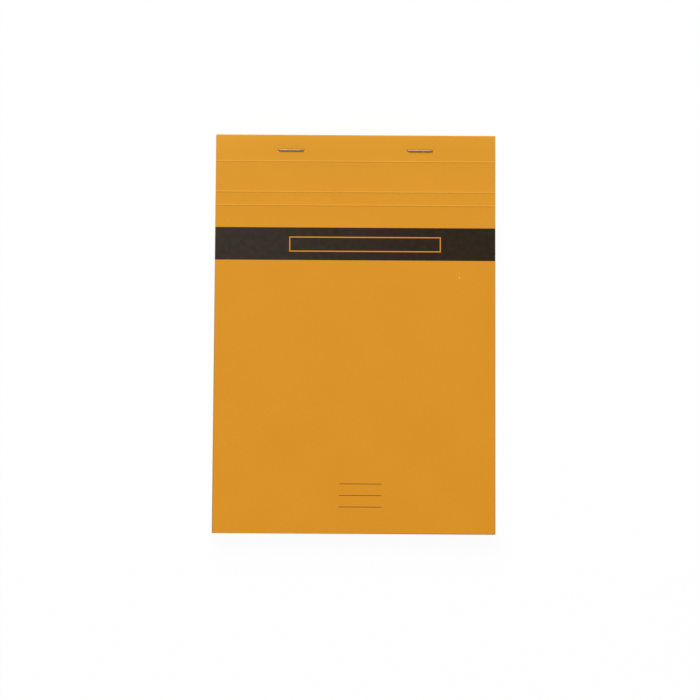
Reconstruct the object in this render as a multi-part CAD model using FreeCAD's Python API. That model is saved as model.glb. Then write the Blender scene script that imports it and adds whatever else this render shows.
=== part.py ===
import FreeCAD, Part
import math
import os

# A head-stapled writing pad with a wrap-around card cover, closed and lying on its back.
#
# Frame: millimetres. X is to the right, Y is towards the stapled head, and Z comes up out of
# the front cover. The origin is at the middle of the footprint, level with the lowest wire.
#
# One card is stapled over the head of the pad. It comes down the front with three raised
# scores, goes round the head in two tight folds and ends in a short flap on the back. The
# cover turns on its scores: at the first it opens, and at the other two it bends round the
# head, so that it can lie flat behind the back board while somebody writes.

# Sheets, backing board and card
sheet_width = 148.0
sheet_length = 210.0
sheet_count = 60
sheet_thickness = 0.08
board_thickness = 0.9
card_thickness = 0.3

# The card's folds at the head, and its flap on the back
fold_inner_radius = 0.15
flap_length = 20.0
flap_bite = 0.05  # how far the flap beds into the board

# Staples: round wire, pressed a little way into the card on both sides
wire_diameter = 0.7
wire_bend_radius = 0.8
wire_bite = 0.1
wire_clearance = 0.03
crown_width = 14.0
clinch_length = 5.0
staple_spacing = 68.2
staple_depth = 8.4  # from the head to the row of staples

# Scores across the cover: raised beads outside, with a groove inside
staple_to_opening_score = 5.9
bead_height = 0.1
bead_half_width = 0.45

# Room that the folded cover leaves over the staples, past the head and behind the back
crown_room = 0.15
head_room = 2.0
back_room = 0.25

# The printed band on the cover, a film of ink
band_depth = 49.5  # from the head to the band's upper edge
band_height = 17.3
ink_thickness = 0.02

# Lengths along Y
overall_length = sheet_length + card_thickness
head_y = overall_length / 2
foot_y = head_y - overall_length
sheet_head_y = head_y - card_thickness
flap_end_y = head_y - flap_length
staple_y = head_y - staple_depth

# Heights: the clinched wire is the lowest thing, at zero
wire_radius = wire_diameter / 2
wire_stand = wire_diameter - wire_bite
flap_bottom = wire_stand
flap_top = flap_bottom + card_thickness
board_bottom = flap_top - flap_bite
board_top = board_bottom + board_thickness
pages_top = board_top + sheet_count * sheet_thickness
cover_top = pages_top + card_thickness
block_thickness = cover_top - flap_bottom

# The hinge lines lie above the card, so that the strip folded back clears the staples
hinge_lift = (wire_stand + crown_room) / 2
hinge_z = cover_top + hinge_lift
opening_score_depth = staple_depth + staple_to_opening_score
turn_strip_length = opening_score_depth + head_room
spine_strip_length = block_thickness + wire_stand + back_room
opening_score_y = head_y - opening_score_depth
turn_score_y = opening_score_y - turn_strip_length
tuck_score_y = turn_score_y - spine_strip_length

band_top_y = head_y - band_depth


def point(y, z):
    """A point of a profile, on the pad's left side."""
    return FreeCAD.Vector(-sheet_width / 2, y, z)


def line(start, end):
    return Part.LineSegment(point(*start), point(*end)).toShape()


def arc(start, middle, end):
    return Part.Arc(point(*start), point(*middle), point(*end)).toShape()


def corner(start, end, centre, radius):
    """A quarter turn from start to end about centre, its middle worked out."""
    toward_y = (start[0] + end[0]) / 2 - centre[0]
    toward_z = (start[1] + end[1]) / 2 - centre[1]
    reach = radius / math.hypot(toward_y, toward_z)
    middle = (centre[0] + toward_y * reach, centre[1] + toward_z * reach)
    return arc(start, middle, end)


def across_the_pad(edges):
    """The solid whose side view is this closed run of edges, as wide as the sheets."""
    outline = Part.Wire(edges)
    return Part.Face(outline).extrude(FreeCAD.Vector(sheet_width, 0, 0))


def half_bead(score_y, base_z, side, rising):
    """Half of a score's rounded bead, on the head side (1) or the foot side (-1) of its crest."""
    round_radius = (bead_half_width**2 + bead_height**2) / (2 * bead_height)
    halfway = bead_half_width / 2
    halfway_z = base_z + bead_height - round_radius + math.sqrt(round_radius**2 - halfway**2)
    foot = (score_y + side * bead_half_width, base_z)
    middle = (score_y + side * halfway, halfway_z)
    crest = (score_y, base_z + bead_height)
    if rising:
        return arc(foot, middle, crest)
    return arc(crest, middle, foot)


def card_strip(upper_y, lower_y, lower_end_scored):
    """A flat run of the cover below one score, down to the next score or to its cut edge."""
    upper_flat_y = upper_y - bead_half_width
    edges = [half_bead(upper_y, cover_top, -1, rising=False)]
    if lower_end_scored:
        lower_flat_y = lower_y + bead_half_width
        edges.append(line((upper_flat_y, cover_top), (lower_flat_y, cover_top)))
        edges.append(half_bead(lower_y, cover_top, 1, rising=True))
        edges.append(line((lower_y, cover_top + bead_height), (lower_y, pages_top + bead_height)))
        edges.append(half_bead(lower_y, pages_top, 1, rising=False))
        edges.append(line((lower_flat_y, pages_top), (upper_flat_y, pages_top)))
    else:
        edges.append(line((upper_flat_y, cover_top), (lower_y, cover_top)))
        edges.append(line((lower_y, cover_top), (lower_y, pages_top)))
        edges.append(line((lower_y, pages_top), (upper_flat_y, pages_top)))
    edges.append(half_bead(upper_y, pages_top, -1, rising=True))
    edges.append(line((upper_y, pages_top + bead_height), (upper_y, cover_top + bead_height)))
    return across_the_pad(edges)


def make_cover_binding():
    """The stapled part of the card: the strip at the head, both folds, and the flap behind."""
    outer_radius = fold_inner_radius + card_thickness
    fold_y = head_y - outer_radius
    upper_fold_z = cover_top - outer_radius
    lower_fold_z = flap_bottom + outer_radius
    flat_y = opening_score_y + bead_half_width
    edges = [
        half_bead(opening_score_y, cover_top, 1, rising=False),
        line((flat_y, cover_top), (fold_y, cover_top)),
        corner((fold_y, cover_top), (head_y, upper_fold_z), (fold_y, upper_fold_z), outer_radius),
        line((head_y, upper_fold_z), (head_y, lower_fold_z)),
        corner((head_y, lower_fold_z), (fold_y, flap_bottom), (fold_y, lower_fold_z), outer_radius),
        line((fold_y, flap_bottom), (flap_end_y, flap_bottom)),
        line((flap_end_y, flap_bottom), (flap_end_y, flap_top)),
        line((flap_end_y, flap_top), (fold_y, flap_top)),
        corner(
            (fold_y, flap_top), (sheet_head_y, lower_fold_z), (fold_y, lower_fold_z), fold_inner_radius
        ),
        line((sheet_head_y, lower_fold_z), (sheet_head_y, upper_fold_z)),
        corner(
            (sheet_head_y, upper_fold_z), (fold_y, pages_top), (fold_y, upper_fold_z), fold_inner_radius
        ),
        line((fold_y, pages_top), (flat_y, pages_top)),
        half_bead(opening_score_y, pages_top, 1, rising=True),
        line(
            (opening_score_y, pages_top + bead_height), (opening_score_y, cover_top + bead_height)
        ),
    ]
    return across_the_pad(edges)


def make_pages():
    """The block of sheets, its upper head edge rounded where the card folds over it."""
    fold_y = sheet_head_y - fold_inner_radius
    fold_z = pages_top - fold_inner_radius
    edges = [
        line((foot_y, board_top), (foot_y, pages_top)),
        line((foot_y, pages_top), (fold_y, pages_top)),
        corner((fold_y, pages_top), (sheet_head_y, fold_z), (fold_y, fold_z), fold_inner_radius),
        line((sheet_head_y, fold_z), (sheet_head_y, board_top)),
        line((sheet_head_y, board_top), (foot_y, board_top)),
    ]
    return across_the_pad(edges)


def make_back_board():
    """The stiff grey board, pressed back a little where the card's flap lies on it."""
    fold_y = sheet_head_y - fold_inner_radius
    fold_z = flap_top + fold_inner_radius
    edges = [
        line((foot_y, board_bottom), (foot_y, board_top)),
        line((foot_y, board_top), (sheet_head_y, board_top)),
        line((sheet_head_y, board_top), (sheet_head_y, fold_z)),
        corner((sheet_head_y, fold_z), (fold_y, flap_top), (fold_y, fold_z), fold_inner_radius),
        line((fold_y, flap_top), (flap_end_y, flap_top)),
        line((flap_end_y, flap_top), (flap_end_y, board_bottom)),
        line((flap_end_y, board_bottom), (foot_y, board_bottom)),
    ]
    return across_the_pad(edges)


def staple(centre_x, radius, end_gap=0.0):
    """A clinched staple of the given wire radius, or the channel that it lies in."""
    leg_x = crown_width / 2 - wire_radius
    clinch_z = wire_radius
    crown_z = cover_top + wire_stand - wire_radius
    bend = wire_bend_radius
    slack = bend * (1 - math.sqrt(0.5))
    tip_x = leg_x - clinch_length - end_gap

    def at(x, z):
        return FreeCAD.Vector(centre_x + x, staple_y, z)

    def straight(start, end):
        return Part.LineSegment(at(*start), at(*end)).toShape()

    def turn(start, middle, end):
        return Part.Arc(at(*start), at(*middle), at(*end)).toShape()

    path = Part.Wire([
        straight((-tip_x, clinch_z), (bend - leg_x, clinch_z)),
        turn((bend - leg_x, clinch_z), (slack - leg_x, clinch_z + slack), (-leg_x, clinch_z + bend)),
        straight((-leg_x, clinch_z + bend), (-leg_x, crown_z - bend)),
        turn((-leg_x, crown_z - bend), (slack - leg_x, crown_z - slack), (bend - leg_x, crown_z)),
        straight((bend - leg_x, crown_z), (leg_x - bend, crown_z)),
        turn((leg_x - bend, crown_z), (leg_x - slack, crown_z - slack), (leg_x, crown_z - bend)),
        straight((leg_x, crown_z - bend), (leg_x, clinch_z + bend)),
        turn((leg_x, clinch_z + bend), (leg_x - slack, clinch_z + slack), (leg_x - bend, clinch_z)),
        straight((leg_x - bend, clinch_z), (tip_x, clinch_z)),
    ])
    section = Part.Wire([Part.Circle(at(-tip_x, clinch_z), FreeCAD.Vector(1, 0, 0), radius).toShape()])
    return path.makePipeShell([section], True, True)


def make_printed_band():
    """The dark band across the cover: a film of ink on its outer face."""
    low_corner = FreeCAD.Vector(-sheet_width / 2, band_top_y - band_height, cover_top)
    return Part.makeBox(sheet_width, band_height, ink_thickness, low_corner)


staple_xs = (-staple_spacing / 2, staple_spacing / 2)
channels = [staple(x, wire_radius + wire_clearance, wire_clearance) for x in staple_xs]


def with_staple_holes(layer):
    for channel in channels:
        layer = layer.cut(channel)
    return layer


parts = {
    "cover_binding": with_staple_holes(make_cover_binding()),
    "cover_turn_strip": card_strip(opening_score_y, turn_score_y, lower_end_scored=True),
    "cover_spine_strip": card_strip(turn_score_y, tuck_score_y, lower_end_scored=True),
    "front_cover": card_strip(tuck_score_y, foot_y, lower_end_scored=False),
    "printed_band": make_printed_band(),
    "pages": with_staple_holes(make_pages()),
    "back_board": with_staple_holes(make_back_board()),
    "staple_left": staple(staple_xs[0], wire_radius),
    "staple_right": staple(staple_xs[1], wire_radius),
}

os.makedirs("parts", exist_ok=True)
for name, shape in parts.items():
    shape.exportStep(f"parts/{name}.step")
    box = shape.BoundBox
    print(
        name, "solids", len(shape.Solids), "valid", shape.isValid(), "volume", round(shape.Volume, 2),
        "y", round(box.YMin, 3), round(box.YMax, 3), "z", round(box.ZMin, 3), round(box.ZMax, 3),
    )

print("hinge lines: y", opening_score_y, turn_score_y, tuck_score_y, "z", hinge_z)
print("overall", sheet_width, overall_length, cover_top + wire_stand)
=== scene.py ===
# %% [markdown]
# A head-stapled writing pad: sixty sheets on a grey board, held in one folded orange card by two
# wire staples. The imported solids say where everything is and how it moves. This script makes the
# pieces again with the folds, dents and cut edges that card and paper have, and gives each one
# its finish. The solids stay underneath as the frame that the new pieces ride on.

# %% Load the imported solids
import math
import random

import bmesh
import bpy
from mathutils import Matrix, Vector


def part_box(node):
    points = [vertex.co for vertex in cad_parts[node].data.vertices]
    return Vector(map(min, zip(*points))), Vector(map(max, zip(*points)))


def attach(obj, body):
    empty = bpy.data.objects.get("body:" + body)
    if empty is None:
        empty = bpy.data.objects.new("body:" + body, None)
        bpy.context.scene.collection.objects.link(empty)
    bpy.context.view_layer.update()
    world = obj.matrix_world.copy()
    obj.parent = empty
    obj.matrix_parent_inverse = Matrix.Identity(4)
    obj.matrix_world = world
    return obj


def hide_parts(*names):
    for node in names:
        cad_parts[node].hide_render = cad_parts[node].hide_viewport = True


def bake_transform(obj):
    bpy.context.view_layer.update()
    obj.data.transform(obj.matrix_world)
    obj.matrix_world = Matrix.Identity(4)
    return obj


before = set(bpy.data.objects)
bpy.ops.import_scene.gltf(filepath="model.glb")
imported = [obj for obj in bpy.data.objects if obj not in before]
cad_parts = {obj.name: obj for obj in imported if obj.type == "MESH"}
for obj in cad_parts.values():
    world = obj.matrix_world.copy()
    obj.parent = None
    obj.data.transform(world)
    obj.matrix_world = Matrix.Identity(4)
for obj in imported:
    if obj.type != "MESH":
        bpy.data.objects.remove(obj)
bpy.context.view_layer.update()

print("solids:", sorted(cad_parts))

# %% [markdown]
# Card is measured in tenths of a millimetre, so the meshes are drawn in millimetres and made
# metres at the very end. No size is typed twice: heights, scores and staples are read from the
# solids' own boxes, and only what the solids can't tell is written here as a number.

# %% Read the sizes from the solids
mm = 0.001


def box_mm(node):
    low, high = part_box(node)
    return low / mm, high / mm


binding_low, binding_high = box_mm("cover_binding")
turn_low, turn_high = box_mm("cover_turn_strip")
spine_low = box_mm("cover_spine_strip")[0]
cover_low = box_mm("front_cover")[0]
band_low, band_high = box_mm("printed_band")
pages_low, pages_high = box_mm("pages")
board_low, board_high = box_mm("back_board")
staple_boxes = {side: box_mm("staple_" + side) for side in ("left", "right")}

half_width = pages_high.x
head_y = binding_high.y
foot_y = cover_low.y
flap_end_y = binding_low.y
flap_bottom = binding_low.z
pages_top = pages_high.z
cover_top = band_low.z
card_thickness = cover_top - pages_top
score_ys = {"opening": turn_high.y, "turn": turn_low.y, "tuck": spine_low.y}
staple_low, staple_high = staple_boxes["left"]
staple_y = (staple_low.y + staple_high.y) / 2
wire_radius = (staple_high.y - staple_low.y) / 2
print("card", round(card_thickness, 3), "mm thick; scores at y", score_ys)

# %% [markdown]
# The photograph looks straight down on the pad with a longish lens. Its corners give the camera:
# the foot is a little wider than the head, so the lens stands a little nearer the foot than the
# head, tilted by three degrees. The place and turn below bring all four corners to within a
# fifth of a pixel in a frame of 700 by 700.

# %% Place the camera
camera_data = bpy.data.cameras.new("camera")
camera_data.lens = 70
camera_data.sensor_width = 36
camera = bpy.data.objects.new("camera", camera_data)
camera.location = Vector((-2.58, -47.32, 721.21)) * mm
camera.rotation_euler = [math.radians(turn) for turn in (3.067, -0.031, 0.332)]
bpy.context.scene.collection.objects.link(camera)
bpy.context.scene.camera = camera
print("camera", round(camera.location.z, 3), "m above the floor")

# %% [markdown]
# Every finish below is a small graph of nodes. Graphs are hard to read as lists of links, so the
# sums are written as ordinary Python: a Value wraps one output, and adding or multiplying two of
# them makes the Math node. All other nodes come from the one method called node.

# %% Write shader sums as expressions


class Value:
    """One output of a node. Arithmetic on it adds Math nodes to the same graph."""

    def __init__(self, graph, output):
        self.graph = graph
        self.output = output

    def __add__(self, other):
        return self.graph.sum("ADD", self, other)

    def __radd__(self, other):
        return self.graph.sum("ADD", other, self)

    def __sub__(self, other):
        return self.graph.sum("SUBTRACT", self, other)

    def __rsub__(self, other):
        return self.graph.sum("SUBTRACT", other, self)

    def __mul__(self, other):
        return self.graph.sum("MULTIPLY", self, other)

    def __rmul__(self, other):
        return self.graph.sum("MULTIPLY", other, self)

    def __truediv__(self, other):
        return self.graph.sum("DIVIDE", self, other)


class Graph:
    """The nodes of one material, or of the world."""

    def __init__(self, owner):
        owner.use_nodes = True
        self.owner = owner
        self.tree = owner.node_tree
        self.tree.nodes.clear()

    def node(self, kind, settings, sockets, output=0):
        """Adds a node: its settings first, then the value or link of each socket."""
        made = self.tree.nodes.new("ShaderNode" + kind)
        for name, setting in settings.items():
            setattr(made, name, setting)
        for name, value in sockets.items():
            if isinstance(value, Value):
                self.tree.links.new(value.output, made.inputs[name])
            elif made.inputs[name].type == "RGBA":
                made.inputs[name].default_value = (*value, 1)
            else:
                made.inputs[name].default_value = value
        if made.outputs:
            return Value(self, made.outputs[output])

    def sum(self, operation, *values):
        return self.node("Math", {"operation": operation}, dict(enumerate(values)))

    def size_of(self, value):
        return self.sum("ABSOLUTE", value)

    def larger(self, first, second):
        return self.sum("MAXIMUM", first, second)

    def smaller(self, first, second):
        return self.sum("MINIMUM", first, second)

    def rise(self, value, low, high):
        """0 up to low and 1 from high on, with an easy curve between."""
        limits = {"Value": value, "From Min": low, "From Max": high}
        return self.node("MapRange", {"interpolation_type": "SMOOTHSTEP"}, limits)

    def stroke(self, away, half_width, blur):
        """1 on a drawn line and 0 beside it, from how far away the line's middle is."""
        return 1 - self.rise(away, half_width - blur, half_width + blur)

    def scaled(self, vector, scale):
        """A vector or a colour times one number."""
        return self.node("VectorMath", {"operation": "SCALE"}, {0: vector, "Scale": scale})

    def stretched(self, vector, factors):
        return self.node("VectorMath", {"operation": "MULTIPLY"}, {0: vector, 1: factors})

    def part(self, vector, axis):
        return self.node("SeparateXYZ", {}, {0: vector}, axis)

    def noise(self, place, per_mm, detail=2.0):
        """Cloudy noise about zero, mostly within half of one either way."""
        sockets = {"Vector": place, "Scale": per_mm, "Detail": detail}
        return (self.node("TexNoise", {}, sockets) - 0.5) * 2

    def mixed(self, share, first, second):
        """The first colour where share is 0 and the second where it is 1."""
        return self.node("Mix", {"data_type": "RGBA"}, {0: share, 6: first, 7: second}, 2)

    def bump(self, height, depth_mm):
        return self.node("Bump", {}, {"Height": height, "Distance": depth_mm * mm}, "Normal")

    def object_place(self):
        """Where a point is on a piece that never bends, in millimetres."""
        return self.scaled(self.node("TexCoord", {}, {}, "Object"), 1 / mm)

    def finish(self, **sockets):
        """Ends a material with its surface shader. Underscores in a name stand for spaces."""
        named = {name.replace("_", " "): value for name, value in sockets.items()}
        shader = self.node("BsdfPrincipled", {}, named, "BSDF")
        self.node("OutputMaterial", {}, {"Surface": shader})
        return self.owner


def new_graph(name):
    return Graph(bpy.data.materials.new(name))


print("nodes are added by", Graph.node.__name__)

# %% [markdown]
# The photograph was taken on pure white. A lit white floor never quite gets there, and turning
# up the lamps would bleach the pad. So the floor and the world show plain white to the camera and
# in reflections, and the floor keeps a share of its lit colour, which holds the pad's shadow.
# The floor lies a little over half a millimetre under the staples' clinched ends, because the
# cover, when it is folded right round to the back, needs that room.

# %% Lay the floor and hang the white background
floor_white = 0.97
floor_plain_share = 0.95
floor_half_size = 3.0
floor_z = -0.6
fill_strength = 0.40


def seen_directly(graph):
    """1 for rays that come straight from the camera, off something shiny, or through glass."""
    camera_ray, glossy_ray, passing_ray = (
        graph.node("LightPath", {}, {}, name)
        for name in ("Is Camera Ray", "Is Glossy Ray", "Is Transmission Ray")
    )
    return graph.larger(camera_ray, graph.larger(glossy_ray, passing_ray))


def make_floor():
    graph = new_graph("white_floor")
    lit = graph.node("BsdfDiffuse", {}, {"Color": (floor_white,) * 3}, "BSDF")
    plain = graph.node("Emission", {}, {"Color": (1, 1, 1), "Strength": 1.0}, "Emission")
    shown = graph.node("MixShader", {}, {0: seen_directly(graph) * floor_plain_share, 1: lit, 2: plain})
    graph.node("OutputMaterial", {}, {"Surface": shown})
    bm = bmesh.new()
    bmesh.ops.create_grid(bm, x_segments=1, y_segments=1, size=floor_half_size)
    bmesh.ops.translate(bm, vec=(0, 0, floor_z * mm), verts=bm.verts)
    mesh = bpy.data.meshes.new("floor")
    bm.to_mesh(mesh)
    bm.free()
    mesh.materials.append(graph.owner)
    floor = bpy.data.objects.new("floor", mesh)
    bpy.context.scene.collection.objects.link(floor)
    return floor


def make_world():
    bpy.context.scene.world = bpy.data.worlds.new("white_surroundings")
    graph = Graph(bpy.context.scene.world)
    fill = graph.node("Background", {}, {"Color": (1, 1, 1), "Strength": fill_strength})
    plain = graph.node("Background", {}, {"Color": (1, 1, 1), "Strength": 1.0})
    shown = graph.node("MixShader", {}, {0: seen_directly(graph), 1: fill, 2: plain})
    graph.node("OutputWorld", {}, {"Surface": shown})


floor = make_floor()
make_world()
bpy.context.scene.view_settings.view_transform = "Standard"
print("floor", 2 * floor_half_size, "m wide, fill", fill_strength)

# %% [markdown]
# On the real pad each score has a bright line on its head side and a dark one below it, and each
# staple's shadow falls towards the foot. So the light comes from beyond the head and a little
# from the left. One large square lamp keeps it soft, and its power is set so that, with the
# fill, a colour on the cover renders about as it is written.

# %% Hang the lamp
lamp_place = Vector((-0.9, 4.6, 3.1))
lamp_size = 3.2
lamp_share = 0.65


def lamp_power():
    """Watts for the lamp's share of a plain level of light on the cover."""
    slope = lamp_place.z / lamp_place.length
    return lamp_share * math.pi**2 * lamp_place.length_squared / slope


lamp_data = bpy.data.lights.new("soft_lamp", "AREA")
lamp_data.size = lamp_size
lamp_data.energy = lamp_power()
lamp = bpy.data.objects.new("soft_lamp", lamp_data)
lamp.location = lamp_place
lamp.rotation_euler = (-lamp_place).to_track_quat("-Z", "Y").to_euler()
bpy.context.scene.collection.objects.link(lamp)
print("lamp", round(lamp_data.energy, 1), "W")

# %% [markdown]
# The cover is one sheet of card, printed orange on its outer side only. Up close the ink is not
# even: it is a little cloudy, it has the grain of the board under it, it is paler and yellower
# towards the head, and it is rubbed where hands and knives touch the card, along the cut edges, on
# the raised scores and at the head. Its left head corner is painted lighter, a painted highlight,
# and its cut edges are painted darker, most at the foot's right corner, which is painted shade.
# Low on the front are three short lines to write a name on. The card bends in use, so the pattern
# can't hang on the room: it follows a UV map that gives each point's place on the flat card, in
# metres across from its middle and along from its foot edge.

# %% Give the card its printed side
card_map = "place_on_card"
orange_ink = (0.703, 0.285, 0.0170)
# The ink runs paler and yellower towards the head.
head_end_orange = (0.703, 0.311, 0.0220)
# Painted highlight: a paler orange laid on the head's left corner, where the light falls strongest.
lit_corner_orange = (0.95, 0.50, 0.07)
rubbed_ink = (0.74, 0.42, 0.12)
# Painted shade: a dark brown laid along the cut edges, where they fall into shade.
edge_shade_colour = (0.30, 0.15, 0.035)
pale_spot_ink = (0.95, 0.50, 0.12)
edge_shade_reach = 0.75
bend_inner_radius = 0.15
neutral_radius = bend_inner_radius + card_thickness / 2
bend_outer_radius = bend_inner_radius + card_thickness
bend_length = neutral_radius * math.pi / 2
fold_y = head_y - bend_outer_radius
flap_fold_y = fold_y + bend_length + (cover_top - flap_bottom) - 2 * bend_outer_radius
flat_end_y = flap_fold_y + bend_length + fold_y - flap_end_y
crests = [y - foot_y for y in score_ys.values()]
corners = [y + bend_length / 2 - foot_y for y in (fold_y, flap_fold_y)]
speck_place = (55.07, 29.41 - foot_y)
speck_core = 0.3
speck_radius = 0.55
faint_speck_up = 2.25
line_ink = (0.075, 0.028, 0.012)
line_middle = 3.3
line_half_length = 11.0
line_half_width = 0.17
line_blur = 0.05
line_heights = (14.0, 20.0, 26.0)


def card_place(graph):
    """The point on the flat card in millimetres, then its two parts, across and along."""
    flat = graph.node("UVMap", {"uv_map": card_map}, {}, "UV")
    place = graph.scaled(flat, 1 / mm)
    return place, graph.part(place, "X"), graph.part(place, "Y")


def cut_edge_distance(graph, across, along):
    """How far a point is from the nearest cut edge of the card."""
    ends = graph.smaller(along, (flat_end_y - foot_y) - along)
    return graph.smaller(half_width - graph.size_of(across), ends)


def near_line(graph, along, line, reach):
    """1 on a line across the card, fading to 0 at its reach."""
    return 1 - graph.rise(graph.size_of(along - line), 0.0, reach)


def painted_edge_shade(graph, across, along):
    """Painted shade darkening the very edge, most at the foot's right corner and low down on both
    sides.
    """
    side = half_width - graph.size_of(across)
    low_down = 1 - graph.rise(along, 60.0, 170.0)
    toward_right = graph.rise(across, -30.0, 40.0)
    on_foot = (1 - graph.rise(along, 0.1, edge_shade_reach)) * (0.2 + toward_right * 0.6)
    on_sides = (1 - graph.rise(side, 0.1, edge_shade_reach)) * (0.2 + low_down * 0.4)
    return graph.larger(on_foot, on_sides)


def orange_print(graph, place, across, along):
    """The ink's colour, and how far it is rubbed."""
    clouds = graph.noise(place, 0.03, 3)
    grain = graph.noise(place, 1.3, 3)
    fibres = graph.noise(graph.stretched(place, (0.5, 3.5, 1)), 1.0, 2)
    shade = 1 + clouds * 0.035 + grain * 0.05 + fibres * 0.03
    scuffs = graph.noise(graph.stretched(place, (0.06, 0.5, 1)), 1.0, 4)
    edge = cut_edge_distance(graph, across, along)
    ragged = edge + grain * 0.25
    rubbed = (1 - graph.rise(ragged, 0.05, 0.5)) * 0.5
    for crest in crests:
        rubbed = rubbed + near_line(graph, along, crest, 0.22) * (0.22 + grain * 0.3)
    for corner in corners:
        rubbed = rubbed + near_line(graph, along, corner, 0.55) * (0.35 + grain * 0.5)
    rubbed = graph.smaller(rubbed + graph.rise(scuffs, 0.42, 0.9) * 0.10, 1.0)
    ink = graph.mixed(graph.rise(along, 100, 225), orange_ink, head_end_orange)
    # The head's left corner is lightened with a painted highlight.
    lit_head_corner = graph.rise(along, 180, 215) * (1 - graph.rise(across, -74, -30))
    ink = graph.mixed(lit_head_corner * 0.08, ink, lit_corner_orange)
    colour = graph.scaled(graph.mixed(rubbed, ink, rubbed_ink), shade)
    # The cut edges are darkened with painted shade.
    return graph.mixed(painted_edge_shade(graph, across, along), colour, edge_shade_colour), rubbed


def speck(graph, across, along):
    """A small pale spot on the ink, with a fainter one above it."""
    left, up = across - speck_place[0], along - speck_place[1]
    far = graph.sum("SQRT", left * left + up * up)
    above = graph.sum("SQRT", left * left + (up - faint_speck_up) * (up - faint_speck_up))
    faint = (1 - graph.rise(above, speck_core, speck_radius)) * 0.3
    return graph.larger(1 - graph.rise(far, speck_core, speck_radius), faint)


def writing_lines(graph, across, along):
    """1 on the three short lines near the foot, where an owner writes a name."""
    on_line = 0
    for height in line_heights:
        on_line = on_line + graph.stroke(graph.size_of(along - height), line_half_width, line_blur)
    return on_line * graph.stroke(graph.size_of(across - line_middle), line_half_length, line_blur)


def make_outer_finish():
    graph = new_graph("orange_card")
    place, across, along = card_place(graph)
    colour, rubbed = orange_print(graph, place, across, along)
    colour = graph.mixed(speck(graph, across, along) * 0.8, colour, pale_spot_ink)
    colour = graph.mixed(writing_lines(graph, across, along) * 0.9, colour, line_ink)
    tooth = graph.noise(place, 5.0, 3) + graph.noise(graph.stretched(place, (0.4, 2.2, 1)), 1.0, 2)
    gloss = graph.noise(place, 0.12, 3)
    return graph.finish(
        Base_Color=colour,
        Roughness=0.58 + gloss * 0.05 + rubbed * 0.15,
        Specular_IOR_Level=0.12,
        Normal=graph.bump(tooth, 0.006),
    )


outer_finish = make_outer_finish()
print("orange card: scores at", [round(crest, 1) for crest in crests], "mm along")

# %% [markdown]
# The card's inner side is unprinted: a warm off-white with the faint felt of uncoated board. Its
# cut edge shows the same stock, a little darker because it is rough and drinks in dirt. Both are
# simple, and both are seen as soon as the cover opens.

# %% Give the card its bare side and its cut edge
bare_card = (0.68, 0.635, 0.55)
card_fleck = (0.48, 0.42, 0.33)
cut_card = (0.66, 0.50, 0.30)


def make_inner_finish():
    graph = new_graph("bare_card")
    place = card_place(graph)[0]
    felt = graph.noise(place, 3.0, 4)
    flecks = graph.rise(graph.noise(graph.stretched(place, (1.0, 3.0, 1)), 1.2, 2), 0.42, 0.6)
    clouds = graph.noise(place, 0.05, 2)
    pale = graph.scaled(bare_card, 1 + felt * 0.05 + clouds * 0.04)
    return graph.finish(
        Base_Color=graph.mixed(flecks * 0.35, pale, card_fleck),
        Roughness=0.78 + felt * 0.06,
        Specular_IOR_Level=0.3,
        Normal=graph.bump(felt, 0.008),
    )


def make_core_finish():
    graph = new_graph("cut_card")
    torn = graph.noise(card_place(graph)[0], 4.0, 3)
    return graph.finish(
        Base_Color=graph.scaled(cut_card, 1 + torn * 0.16),
        Roughness=0.85 + torn * 0.05,
        Specular_IOR_Level=0.2,
        Normal=graph.bump(torn, 0.01),
    )


card_finishes = [outer_finish, make_inner_finish(), make_core_finish()]
print("card finishes:", [finish.name for finish in card_finishes])

# %% [markdown]
# Every piece ends the same way: faces that meet at a clear angle keep a crisp edge, the rest are
# shaded smooth, the mesh goes from millimetres to metres, and the object is left at the origin.
# The printed line says whether the shell is closed and how much it holds, which is the quickest
# way to catch a missing cap or a shape that has turned inside out.

# %% Turn a drawn shape into a piece
crisp_angle = math.radians(20)


def make_piece(name, bm, finishes):
    for face in bm.faces:
        face.smooth = True
    for edge in bm.edges:
        edge.smooth = edge.calc_face_angle(0) < crisp_angle
    open_edges = sum(not edge.is_manifold for edge in bm.edges)
    volume = bm.calc_volume(signed=True)
    bmesh.ops.scale(bm, vec=(mm, mm, mm), verts=bm.verts)
    mesh = bpy.data.meshes.new(name)
    bm.to_mesh(mesh)
    bm.free()
    for finish in finishes:
        mesh.materials.append(finish)
    piece = bpy.data.objects.new(name, mesh)
    bpy.context.scene.collection.objects.link(piece)
    print(name, len(mesh.polygons), "faces,", open_edges, "open edges,", round(volume, 1), "mm3")
    return piece


def slab(low, high):
    """A block between two corners."""
    bm = bmesh.new()
    bmesh.ops.create_cube(bm, size=1)
    low, high = Vector(low), Vector(high)
    bmesh.ops.scale(bm, vec=high - low, verts=bm.verts)
    bmesh.ops.translate(bm, vec=(low + high) / 2, verts=bm.verts)
    return bm


def cut_across(bm, axis, places):
    """Cuts right through a shape at each place along an axis, which adds rows to shape later."""
    normal = Vector((axis == "X", axis == "Y", axis == "Z"))
    for place in places:
        everything = bm.verts[:] + bm.edges[:] + bm.faces[:]
        bmesh.ops.bisect_plane(
            bm, geom=everything, dist=1e-4, plane_co=normal * place, plane_no=normal
        )


def round_edges(bm, edges, radius, segments):
    bmesh.ops.bevel(
        bm, geom=edges, offset=radius, segments=segments, profile=0.5, affect="EDGES", material=-1
    )


def spread(low, high, steps):
    """Evenly spaced places from low to high."""
    return [low + (high - low) * step / steps for step in range(steps + 1)]


print("edges sharper than", round(math.degrees(crisp_angle)), "degrees stay crisp")

# %% [markdown]
# All of the cover starts as flat card. A run of it is one thin block: its cut edges are eased,
# because a guillotine presses the card a little, and its faces are sorted into printed side,
# bare side and cut edge. The seams between two runs stay square, so that the runs meet exactly.
# While the card is flat, the UV map is a plain copy of where each point lies.

# %% Cut a run of flat card
eased_edge = 0.05
touching = 1e-3


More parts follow.
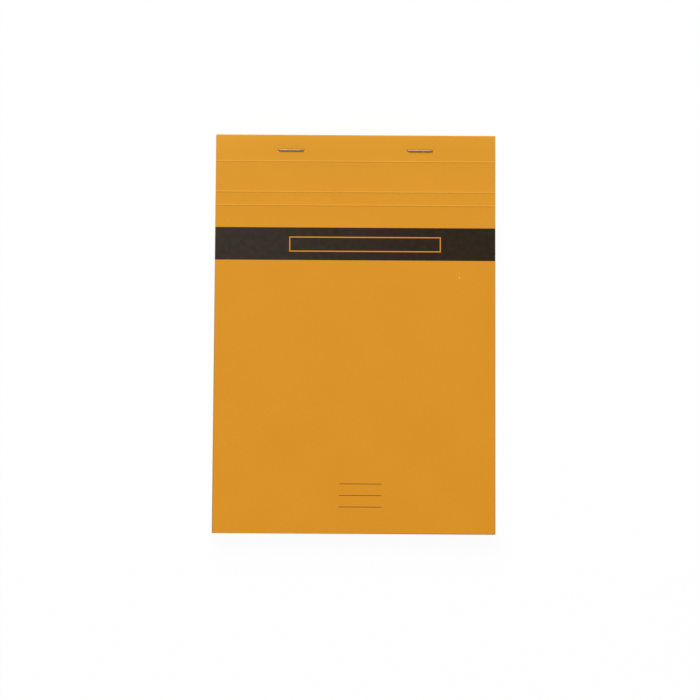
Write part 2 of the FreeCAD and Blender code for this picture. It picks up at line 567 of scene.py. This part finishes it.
def flat_card(low_y, high_y, seams, worn_corner=0.0):
    bm = slab((-half_width, low_y, pages_top), (half_width, high_y, cover_top))
    if worn_corner:
        upright = [
            edge for edge in bm.edges
            if all(vert.co.x > 0 and vert.co.y < low_y + touching for vert in edge.verts)
        ]
        round_edges(bm, upright, worn_corner, 6)
    bm.normal_update()
    outline = []
    for edge in bm.edges:
        first, second = (vert.co for vert in edge.verts)
        level = abs(first.z - second.z) < touching
        on_seam = any(max(abs(first.y - y), abs(second.y - y)) < touching for y in seams)
        if level and not on_seam and edge.calc_face_angle(0) > crisp_angle:
            outline.append(edge)
    round_edges(bm, outline, eased_edge, 2)
    bm.normal_update()
    for face in bm.faces:
        face.material_index = 2 if abs(face.normal.z) < 0.5 else int(face.normal.z < 0)
    return bm


def map_card(bm):
    """Writes each point's place on the flat card, in metres, into the UV map."""
    layer = bm.loops.layers.uv.new(card_map)
    for face in bm.faces:
        for loop in face.loops:
            loop[layer].uv = (loop.vert.co.x * mm, (loop.vert.co.y - foot_y) * mm)


print("flat card from flap to foot:", round(flat_end_y - foot_y, 1), "mm")

# %% [markdown]
# A score is pressed into the card from behind, so a low rounded ridge stands out in front and a
# groove of the same shape lies behind. Each ridge gets a fan of close rows, and both sides of the
# card are lifted by one smooth bell.

# %% Raise a score
ridge_height = 0.1
ridge_reach = 0.55
ridge_rows = 26


def raise_score(bm, score_y):
    cut_across(bm, "Y", spread(score_y - ridge_reach, score_y + ridge_reach, ridge_rows))
    for vert in bm.verts:
        away = abs(vert.co.y - score_y) / ridge_reach
        if away < 1:
            vert.co.z += ridge_height * math.cos(away * math.pi / 2) ** 2


print("ridges", ridge_height, "mm high and", 2 * ridge_reach, "mm wide")

# %% [markdown]
# The stapled run never leaves the pad. It starts below the staples, goes round the head in two
# tight folds, and ends as a flap on the back. It could be drawn as a finished profile, but then
# its pattern would have to be unrolled again, so it is made as the factory makes it: flat card,
# dented where the wire pulls it down, then folded at the flap and then at the head.

# %% Fold the stapled run round the head
binding_end_y = staple_y - 2.6
fold_rows = 10
dent_depth = 0.2
dent_reach = 0.6
dent_room_along = 1.3
dent_room_across = 8.4
dent_rows = 22
dent_columns = 56
crown_half = (staple_high.x - staple_low.x) / 2 - wire_radius
clinch_length = 5.0
staple_xs = [(low.x + high.x) / 2 for low, high in staple_boxes.values()]
clinch_flat_y = flap_fold_y + bend_length + fold_y - staple_y


def dent(across, along, half_length):
    """How far the card is pulled in beside a straight piece of wire, from 0 to 1."""
    past_end = max(0.0, abs(across) - half_length)
    return math.exp(-(along**2 + past_end**2) / dent_reach**2)


def dent_at(x, y):
    """The deepest of all the dents at a point of the flat card."""
    deepest = 0.0
    for staple_x in staple_xs:
        deepest = max(deepest, dent(x - staple_x, y - staple_y, crown_half))
        for side in (-1, 1):
            clinch_x = staple_x + side * (crown_half - clinch_length / 2)
            deepest = max(deepest, dent(x - clinch_x, y - clinch_flat_y, clinch_length / 2))
    return dent_depth * deepest


def fold_back(bm, start_y):
    """Bends all card beyond start_y a quarter turn down, round the inner radius of the fold."""
    axis_z = cover_top - bend_outer_radius
    for vert in bm.verts:
        beyond = vert.co.y - start_y
        if beyond > 0:
            used = min(beyond, bend_length)
            axis = Vector((vert.co.x, start_y, axis_z))
            turn = Matrix.Rotation(-math.pi / 2 * used / bend_length, 3, "X")
            vert.co = axis + turn @ (vert.co - Vector((0, used, 0)) - axis)


def make_binding():
    bm = flat_card(binding_end_y, flat_end_y, seams=[binding_end_y])
    for start in (fold_y, flap_fold_y):
        cut_across(bm, "Y", spread(start, start + bend_length, fold_rows))
    for line in (staple_y, clinch_flat_y):
        cut_across(bm, "Y", spread(line - dent_room_along, line + dent_room_along, dent_rows))
    for staple_x in staple_xs:
        low_x, high_x = staple_x - dent_room_across, staple_x + dent_room_across
        cut_across(bm, "X", spread(low_x, high_x, dent_columns))
    map_card(bm)
    middle_z = (pages_top + cover_top) / 2
    for vert in bm.verts:
        if vert.co.z > middle_z:
            vert.co.z -= dent_at(vert.co.x, vert.co.y)
    fold_back(bm, flap_fold_y)
    fold_back(bm, fold_y)
    return make_piece("cover_stapled_run", bm, card_finishes)


stapled_run = make_binding()
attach(stapled_run, "pad")
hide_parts("cover_binding")

# %% [markdown]
# The cover turns at its three scores, and card that turns has to roll, not break. The runs are
# parted halfway between scores, where nothing bends, so that each run holds one score in its
# middle.

# %% Make the runs that roll at the scores
first_seam_y = (score_ys["opening"] + score_ys["turn"]) / 2
second_seam_y = (score_ys["turn"] + score_ys["tuck"]) / 2
run_ends = {"opening": (binding_end_y, first_seam_y), "turn": (first_seam_y, second_seam_y)}


def roll_at(piece):
    """Bakes the run's place into its mesh and leaves it at the origin."""
    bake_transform(piece)


def make_rolling_run(score):
    high_y, low_y = run_ends[score]
    bm = flat_card(low_y, high_y, seams=[low_y, high_y])
    map_card(bm)
    raise_score(bm, score_ys[score])
    return make_piece("cover_" + score + "_run", bm, card_finishes)


opening_run = make_rolling_run("opening")
roll_at(opening_run)
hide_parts("cover_turn_strip")

turn_run = make_rolling_run("turn")
roll_at(turn_run)
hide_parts("cover_spine_strip")

# %% [markdown]
# The front is the large panel. Held only at its head, a cover like this never lies quite flat:
# it lifts a third of a millimetre at the foot, a shade more at the corner that thumbs use, and
# it waves very slightly. That corner is also worn round. The lift is a formula of the place on
# the panel, so the printed band can be laid on it afterwards with the same formula.

# %% Make the front panel
foot_lift = 0.35
thumb_lift = 0.15
wave_height = 0.04
thumb_corner = 0.7
panel_cell = 9.0


def panel_lift(x, y):
    """How far the panel has risen off the sheets."""
    down = max(0.0, (score_ys["tuck"] - ridge_reach - y) / (score_ys["tuck"] - foot_y))
    rightward = (x / half_width + 1) / 2
    wave = math.sin(x / 26 + 0.7) * math.sin(y / 31 + 0.4)
    return foot_lift * down**2 + thumb_lift * (down * rightward) ** 4 + wave_height * down * (1 + wave)


def lift_panel(bm):
    for vert in bm.verts:
        vert.co.z += panel_lift(vert.co.x, vert.co.y)


def cut_into_cells(bm, low_y, high_y):
    columns = round(2 * half_width / panel_cell)
    rows = max(2, round((high_y - low_y) / panel_cell))
    cut_across(bm, "X", spread(-half_width, half_width, columns)[1:-1])
    cut_across(bm, "Y", spread(low_y, high_y, rows)[1:-1])


def make_front():
    bm = flat_card(foot_y, second_seam_y, seams=[second_seam_y], worn_corner=thumb_corner)
    cut_into_cells(bm, foot_y, score_ys["tuck"] - ridge_reach)
    map_card(bm)
    raise_score(bm, score_ys["tuck"])
    lift_panel(bm)
    return make_piece("cover_front", bm, card_finishes)


front = make_front()
roll_at(front)
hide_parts("front_cover")

# %% [markdown]
# A dark band is printed across the cover. Ink has no thickness to speak of, but as a film of its
# own it can take its own finish, so it is a very thin sheet laid on the panel. The dark ink skips
# one plain ruled frame, where an owner writes the pad's subject. Such ink is never an even tone:
# it is mottled by the card under it and it rubs thin at its ends. It is also painted a little
# lighter towards the left, a painted sheen.

# %% Print the band
band_ink = (0.0210, 0.0132, 0.0066)
# Painted sheen: a pale grey mixed into the band, most at its left end.
band_sheen_colour = (0.60, 0.62, 0.60)
rubbed_band = (0.22, 0.15, 0.08)
frame_middle = (5.2, 46.8 - foot_y)
frame_half_width = 40.0
frame_half_height = 4.0
frame_line = 0.55
frame_blur = 0.04


def frame_mask(graph, across, along):
    """1 on the outline of the ruled frame."""
    sideways = graph.size_of(across - frame_middle[0]) - frame_half_width
    upwards = graph.size_of(along - frame_middle[1]) - frame_half_height
    outside = graph.size_of(graph.larger(sideways, upwards) + frame_line / 2)
    return graph.stroke(outside, frame_line / 2, frame_blur)


def make_band_finish():
    graph = new_graph("dark_band_ink")
    place, across, along = card_place(graph)
    orange, rubbed = orange_print(graph, place, across, along)
    cover = graph.noise(place, 1.6, 3)
    mottle = graph.noise(place, 0.35, 3)
    clouds = graph.noise(place, 0.04, 2)
    dark = graph.scaled(band_ink, 1 + cover * 0.15 + mottle * 0.45 + clouds * 0.08)
    # Painted sheen, strongest at the left end of the band.
    left_sheen = (1 - graph.rise(across, -75, 60)) * (0.020 + mottle * 0.006)
    dark = graph.mixed(left_sheen, dark, band_sheen_colour)
    dark = graph.mixed(rubbed * 0.35, dark, rubbed_band)
    knocked_out = frame_mask(graph, across, along)
    tooth = graph.noise(place, 5.0, 3)
    return graph.finish(
        Base_Color=graph.mixed(knocked_out, dark, orange),
        Roughness=0.55 + cover * 0.04 + rubbed * 0.15,
        Specular_IOR_Level=0.08,
        Normal=graph.bump(tooth, 0.003),
    )


def make_band():
    inset = Vector((eased_edge, 0, 0))
    bm = slab(band_low + inset, band_high - inset)
    cut_into_cells(bm, band_low.y, band_high.y)
    map_card(bm)
    lift_panel(bm)
    return make_piece("printed_band_film", bm, [make_band_finish()])


band = make_band()
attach(band, "cover")
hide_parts("printed_band")

# %% [markdown]
# The block is sixty sheets, cut together, so its sides are flat but never perfectly: each sheet
# stands in or out by a few hundredths. Drawing sixty boxes would leave faces hidden inside. One
# face is extruded instead, up by a sheet, then out or in by the step to the next, sixty times,
# which leaves a single closed shell with every sheet's edge on it.

# %% Stack the sheets
sheet_count = 60
sheet_thickness = (pages_top - pages_low.z) / sheet_count
sheet_step = 0.05
dice = random.Random(7)


def sheet_outline(number):
    """Lowest and highest x and y of one sheet. The top two curl under the folded card."""
    below_top = (sheet_count - 1 - number) * sheet_thickness
    low_enough = min(below_top, bend_inner_radius)
    eased = bend_inner_radius - math.sqrt(bend_inner_radius**2 - (bend_inner_radius - low_enough) ** 2)
    in_left, in_right, in_foot, in_head = (dice.uniform(0, sheet_step) for draw in range(4))
    return (
        pages_low.x + in_left, pages_high.x - in_right,
        pages_low.y + in_foot, pages_high.y - in_head * 0.3 - eased,
    )


def set_outline(verts, outline):
    low_x, high_x, low_y, high_y = outline
    for vert in verts:
        vert.co.x = low_x if vert.co.x < 0 else high_x
        vert.co.y = low_y if vert.co.y < 0 else high_y


def extend(bm, face, step):
    """Extrudes a face by a step and returns the new end. A face left inside the shell goes."""
    inside = any(len(edge.link_faces) > 1 for edge in face.edges)
    made = bmesh.ops.extrude_face_region(bm, geom=[face])["geom"]
    verts = [item for item in made if isinstance(item, bmesh.types.BMVert)]
    bmesh.ops.translate(bm, vec=step, verts=verts)
    if inside:
        bmesh.ops.delete(bm, geom=[face], context="FACES_ONLY")
    return next(item for item in made if isinstance(item, bmesh.types.BMFace))


def make_pages(finishes):
    bm = bmesh.new()
    bmesh.ops.create_grid(bm, x_segments=1, y_segments=1, size=1)
    bmesh.ops.translate(bm, vec=(0, 0, pages_low.z), verts=bm.verts)
    top = bm.faces[:][0]
    for number in range(sheet_count):
        if number:
            top = extend(bm, top, (0, 0, 0))
        set_outline(top.verts, sheet_outline(number))
        top = extend(bm, top, (0, 0, sheet_thickness))
    bmesh.ops.recalc_face_normals(bm, faces=bm.faces)
    for face in bm.faces:
        face.material_index = int(face is not top)
    return make_piece("sheets", bm, finishes)


# %% [markdown]
# The top sheet is seen as soon as the cover opens: writing paper with faint rules, a margin and
# the perforation at which a sheet tears off. None of it is in the photograph, so it is kept quiet
# and usual. The sides of the block show the sheets' edges as very fine lines, some lighter and
# some darker, in bundles, because no two sheets catch the light alike.

# %% Give the sheets their paper
paper_white = (0.84, 0.835, 0.80)
rule_colour = (0.42, 0.55, 0.68)
margin_colour = (0.75, 0.32, 0.30)
rule_spacing = 8.0
first_rule_y = head_y - 32.0
last_rule_y = foot_y + 12.0
margin_x = -half_width + 25.0
rule_half_width = 0.11
margin_half_width = 0.13
ink_blur = 0.05
tear_line_y = head_y - 15.8
slot_half_width = 0.09
slot_blur = 0.03
slot_pitch = 1.4
slot_shadow = (0.25, 0.24, 0.22)
sheet_edge_white = (0.72, 0.705, 0.655)


def make_sheet_finish():
    graph = new_graph("writing_paper")
    place = graph.object_place()
    x, y = graph.part(place, "X"), graph.part(place, "Y")
    felt = graph.noise(place, 2.5, 4)
    wet_ink = 1 + graph.noise(place, 0.8, 2) * 0.5
    down = (first_rule_y + rule_spacing / 2 - y) / rule_spacing
    from_rule = graph.size_of(graph.sum("FRACT", down) - 0.5) * rule_spacing
    below_last = last_rule_y - rule_spacing / 2
    ruled = graph.rise(y, below_last, below_last + 0.01)
    ruled = ruled * (1 - graph.rise(y, first_rule_y + 1.0, first_rule_y + 1.01))
    rules = graph.stroke(from_rule, rule_half_width, ink_blur) * ruled * wet_ink * 0.55
    margin = graph.stroke(graph.size_of(x - margin_x), margin_half_width, ink_blur) * wet_ink * 0.5
    slots = graph.rise(graph.size_of(graph.sum("FRACT", x / slot_pitch) - 0.5), 0.16, 0.2)
    tear = graph.stroke(graph.size_of(y - tear_line_y), slot_half_width, slot_blur) * slots
    colour = graph.scaled(paper_white, 1 + felt * 0.025)
    colour = graph.mixed(rules, colour, rule_colour)
    colour = graph.mixed(margin, colour, margin_colour)
    colour = graph.mixed(tear * 0.6, colour, slot_shadow)
    return graph.finish(
        Base_Color=colour,
        Roughness=0.8 + felt * 0.05,
        Specular_IOR_Level=0.25,
        Normal=graph.bump(felt * 0.5 - tear * 4, 0.01),
    )


def make_stack_finish():
    graph = new_graph("sheet_edges")
    place = graph.object_place()
    single = graph.noise(graph.stretched(place, (0.01, 0.01, 9.0)), 1.0, 1)
    bundles = graph.noise(graph.stretched(place, (0.008, 0.008, 1.7)), 1.0, 2)
    knife = graph.noise(graph.stretched(place, (0.35, 0.35, 0.05)), 1.0, 2)
    shade = 1 + single * 0.22 + bundles * 0.14 + knife * 0.03
    return graph.finish(
        Base_Color=graph.scaled(sheet_edge_white, shade),
        Roughness=0.88 + single * 0.05,
        Specular_IOR_Level=0.2,
        Normal=graph.bump(single + knife * 0.3, 0.02),
    )


sheets = make_pages([make_sheet_finish(), make_stack_finish()])
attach(sheets, "pad")
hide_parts("pages")

# %% [markdown]
# The back is solid grey board: pulped waste paper rolled into a stiff sheet, with dark and light
# fibres of every kind in it. It is one block with eased edges, pressed back a little at the head
# where the card's flap is pulled against it. The flap's step is cut in as one row and lifted.

# %% Cut the back board
board_ease = 0.12
flap_bed = 0.05
bed_slope = 0.1
board_grey = (0.33, 0.305, 0.262)
light_fibre = (0.52, 0.49, 0.43)
dark_fibre = (0.19, 0.17, 0.15)
board_speck = (0.10, 0.10, 0.12)


def make_board_finish():
    graph = new_graph("grey_board")
    place = graph.object_place()
    pulp = graph.noise(place, 1.1, 4)
    clouds = graph.noise(place, 0.06, 3)
    light = graph.rise(graph.noise(graph.stretched(place, (0.5, 2.6, 2.0)), 1.0, 3), 0.25, 0.6)
    dark = graph.rise(graph.noise(graph.stretched(place, (2.2, 0.6, 2.0)), 1.0, 3), 0.3, 0.6)
    specks = graph.rise(graph.noise(place, 0.9, 1), 0.62, 0.75)
    colour = graph.scaled(board_grey, 1 + pulp * 0.16 + clouds * 0.10)
    colour = graph.mixed(light * 0.35, colour, light_fibre)
    colour = graph.mixed(dark * 0.35, colour, dark_fibre)
    colour = graph.mixed(specks * 0.5, colour, board_speck)
    return graph.finish(
        Base_Color=colour,
        Roughness=0.88 + pulp * 0.06,
        Specular_IOR_Level=0.2,
        Normal=graph.bump(pulp + light * 0.4, 0.03),
    )


def make_board():
    bm = slab(board_low, board_high)
    round_edges(bm, bm.edges[:], board_ease, 3)
    cut_across(bm, "Y", [flap_end_y - bed_slope, flap_end_y + bed_slope])
    underside = board_low.z + touching
    for vert in bm.verts:
        if vert.co.z < underside and vert.co.y > flap_end_y:
            vert.co.z += flap_bed
    return make_piece("grey_back_board", bm, [make_board_finish()])


board = make_board()
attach(board, "pad")
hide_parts("back_board")

# %% [markdown]
# The staples are round steel wire. The stitcher bends each one up, drives it through the pad and
# turns its ends in on the flap. The mesh is made in the same order: one capped circle is pushed
# along the straight lengths and spun round the four bends, and its two cut ends are eased.

# %% Bend the staples
wire_facets = 20
wire_bend = 0.8
bend_steps = 8
cut_ease = 0.08
# Dark steel whose warm brown is a painted reflection of the orange card.
steel_and_card_reflection = (0.243, 0.203, 0.151)
crown_z = staple_high.z - wire_radius
clinch_z = wire_radius


def bend(bm, face, centre):
    """Bends the wire a quarter turn about a point."""
    around = [face] + face.edges[:] + face.verts[:]
    made = bmesh.ops.spin(
        bm, geom=around, cent=centre, axis=(0, 1, 0), angle=math.pi / 2, steps=bend_steps
    )["geom_last"]
    return next(item for item in made if isinstance(item, bmesh.types.BMFace))


def make_wire_finish():
    graph = new_graph("drawn_wire")
    place = graph.object_place()
    streaks = graph.noise(graph.stretched(place, (0.8, 14.0, 14.0)), 1.0, 3)
    tarnish = graph.noise(place, 0.9, 3)
    return graph.finish(
        Base_Color=graph.scaled(steel_and_card_reflection, 1 + streaks * 0.06 + tarnish * 0.12),
        Metallic=1.0,
        Roughness=0.38 + streaks * 0.06 + tarnish * 0.08,
        Normal=graph.bump(streaks, 0.004),
    )


def make_staple(side, finish):
    low, high = staple_boxes[side]
    middle_x = (low.x + high.x) / 2
    tip = crown_half - clinch_length
    bend_x = crown_half - wire_bend
    start = Matrix.Translation((middle_x - tip, staple_y, clinch_z))
    bm = bmesh.new()
    bmesh.ops.create_circle(
        bm, cap_ends=True, segments=wire_facets, radius=wire_radius,
        matrix=start @ Matrix.Rotation(math.pi / 2, 4, "Y"),
    )
    end = extend(bm, bm.faces[:][0], (tip - bend_x, 0, 0))
    low_z, high_z = clinch_z + wire_bend, crown_z - wire_bend
    end = bend(bm, end, (middle_x - bend_x, staple_y, low_z))
    end = extend(bm, end, (0, 0, high_z - low_z))
    end = bend(bm, end, (middle_x - bend_x, staple_y, high_z))
    end = extend(bm, end, (2 * bend_x, 0, 0))
    end = bend(bm, end, (middle_x + bend_x, staple_y, high_z))
    end = extend(bm, end, (0, 0, low_z - high_z))
    end = bend(bm, end, (middle_x + bend_x, staple_y, low_z))
    extend(bm, end, (tip - bend_x, 0, 0))
    bmesh.ops.recalc_face_normals(bm, faces=bm.faces)
    caps = [face for face in bm.faces if len(face.verts) == wire_facets]
    round_edges(bm, [edge for cap in caps for edge in cap.edges], cut_ease, 2)
    return make_piece("wire_staple_" + side, bm, [finish])


wire_finish = make_wire_finish()
for side in staple_boxes:
    staple = make_staple(side, wire_finish)
    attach(staple, "pad")
    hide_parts("staple_" + side)
